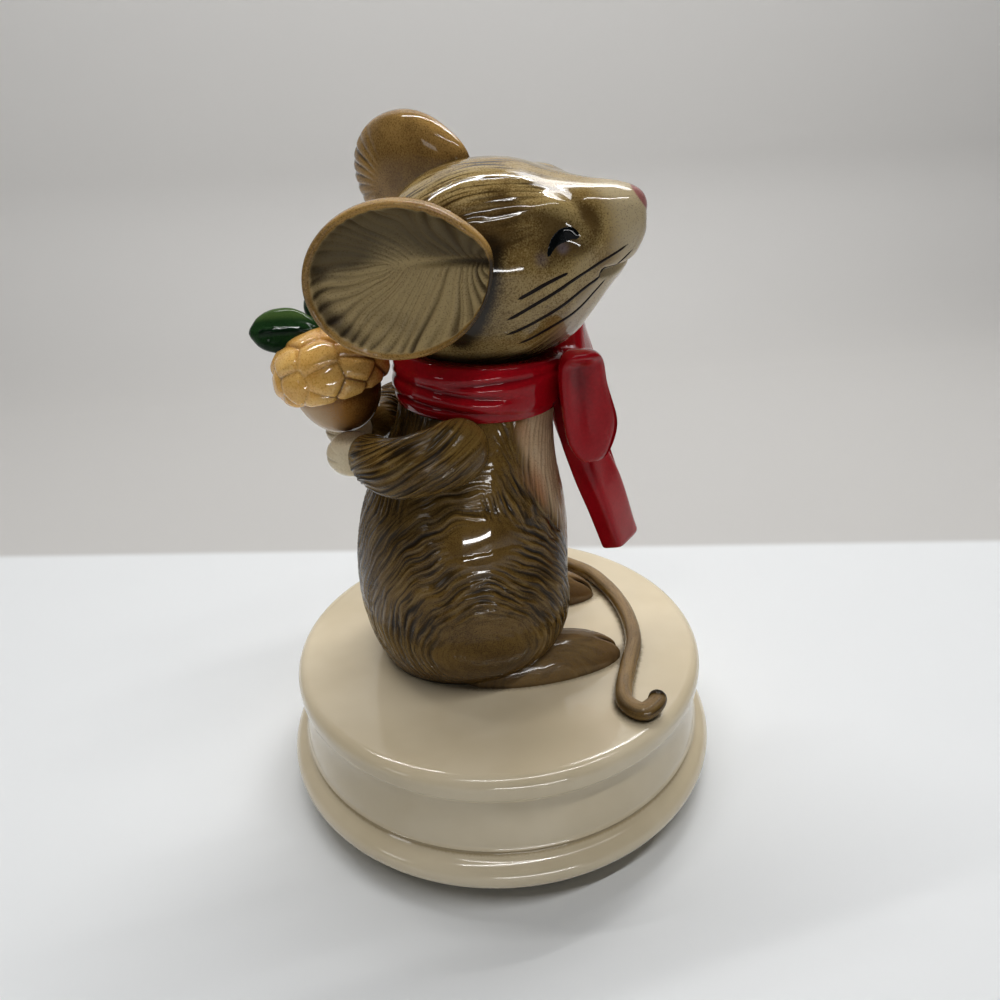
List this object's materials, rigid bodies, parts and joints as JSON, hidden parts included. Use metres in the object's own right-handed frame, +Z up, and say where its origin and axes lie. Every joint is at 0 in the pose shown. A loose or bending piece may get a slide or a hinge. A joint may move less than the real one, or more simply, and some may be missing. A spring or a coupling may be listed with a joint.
{
  "type": "mouse music box",
  "caption": "Glazed ceramic mouse with a red scarf, holding an acorn behind its back, on a round drum with a wind-up musical movement that turns on a flat foot.",
  "frame": {"origin": "on the turning axis, on the underside of the foot pad where it meets the table", "axes": "+Z up along the turning axis, +X the way the mouse faces, +Y to the mouse's left"},
  "size_m": [0.1, 0.1, 0.1417],
  "materials": {
    "cream_glaze": "cream glaze with a thin tan line in the groove",
    "fur_glaze": "brown hand-painted fur strokes under clear glaze",
    "pale_glaze": "cream paw under clear glaze",
    "acorn_glaze": "tan to brown wash under clear glaze",
    "leaf_glaze": "dark green gloss glaze",
    "red_glaze": "crimson gloss glaze",
    "dark_plastic": "dark moulded plastic",
    "pad_rubber": "plain non-slip rubber",
    "cover_board": "pressed fibre board",
    "zinc": "die-cast zinc, dull",
    "steel": "bright steel",
    "brass": "turned brass",
    "nylon": "natural white moulded plastic"
  },
  "bodies": {
    "figure": {"base_shell": "cream_glaze", "torso": "fur_glaze", "head": "fur_glaze", "right_ear": "fur_glaze", "left_ear": "fur_glaze", "right_arm": "fur_glaze", "left_arm": "fur_glaze", "right_foot": "fur_glaze", "left_foot": "fur_glaze", "tail": "fur_glaze", "right_paw": "pale_glaze", "left_paw": "pale_glaze", "acorn_nut": "acorn_glaze", "acorn_cap": "acorn_glaze", "outer_leaf": "leaf_glaze", "inner_leaf": "leaf_glaze", "scarf_band": "red_glaze", "bow_knot": "red_glaze", "right_bow_loop": "red_glaze", "left_bow_loop": "red_glaze", "right_bow_tail": "red_glaze", "left_bow_tail": "red_glaze", "bottom_cover": "cover_board", "bedplate": "zinc", "barrel_bridge": "zinc", "inner_bracket": "zinc", "outer_bracket": "zinc", "governor_bracket": "zinc", "spring_housing": "steel", "mainspring": "steel", "comb": "steel", "second_stud": "steel", "cover_screw_1": "steel", "cover_screw_2": "steel", "cover_screw_3": "steel", "movement_screw_1": "steel", "movement_screw_2": "steel", "movement_screw_3": "steel", "comb_screw_1": "steel", "comb_screw_2": "steel", "bridge_screw_1": "steel", "bridge_screw_2": "steel", "arbor_bush": "brass"},
    "turning_foot": {"turn_foot": "dark_plastic", "foot_pad": "pad_rubber", "winding_arbor": "steel", "crown_wheel": "brass"},
    "pinned_cylinder": {"cylinder": "brass", "cylinder_shaft": "steel", "cylinder_pinion": "brass", "cylinder_wheel": "nylon"},
    "second_wheel": {"second_wheel": "nylon"},
    "governor": {"governor_worm": "steel", "governor_fan": "brass"}
  },
  "joints": [
    {"name": "foot_turn", "type": "hinge", "parent": "figure", "child": "turning_foot", "pos_m": [0, 0, 0], "axis": [0, 0, 1], "range_deg": [0, 1440]},
    {"name": "cylinder_turn", "type": "hinge", "parent": "figure", "child": "pinned_cylinder", "pos_m": [0.0135, 0, 0.01704], "axis": [1, 0, 0], "range_deg": [0, 3120]},
    {"name": "second_wheel_turn", "type": "hinge", "parent": "figure", "child": "second_wheel", "pos_m": [0.03, -0.00844, 0.01454], "axis": [1, 0, 0], "range_deg": [-9360, 0]},
    {"name": "governor_turn", "type": "hinge", "parent": "figure", "child": "governor", "pos_m": [0.03235, -0.01444, 0.01454], "axis": [0, 0, 1], "range_deg": [-168480, 0]}
  ],
  "couplings": [
    {"joint": "cylinder_turn", "follows": "foot_turn", "ratio": 2.1667},
    {"joint": "second_wheel_turn", "follows": "foot_turn", "ratio": -6.5},
    {"joint": "governor_turn", "follows": "foot_turn", "ratio": -117}
  ]
}
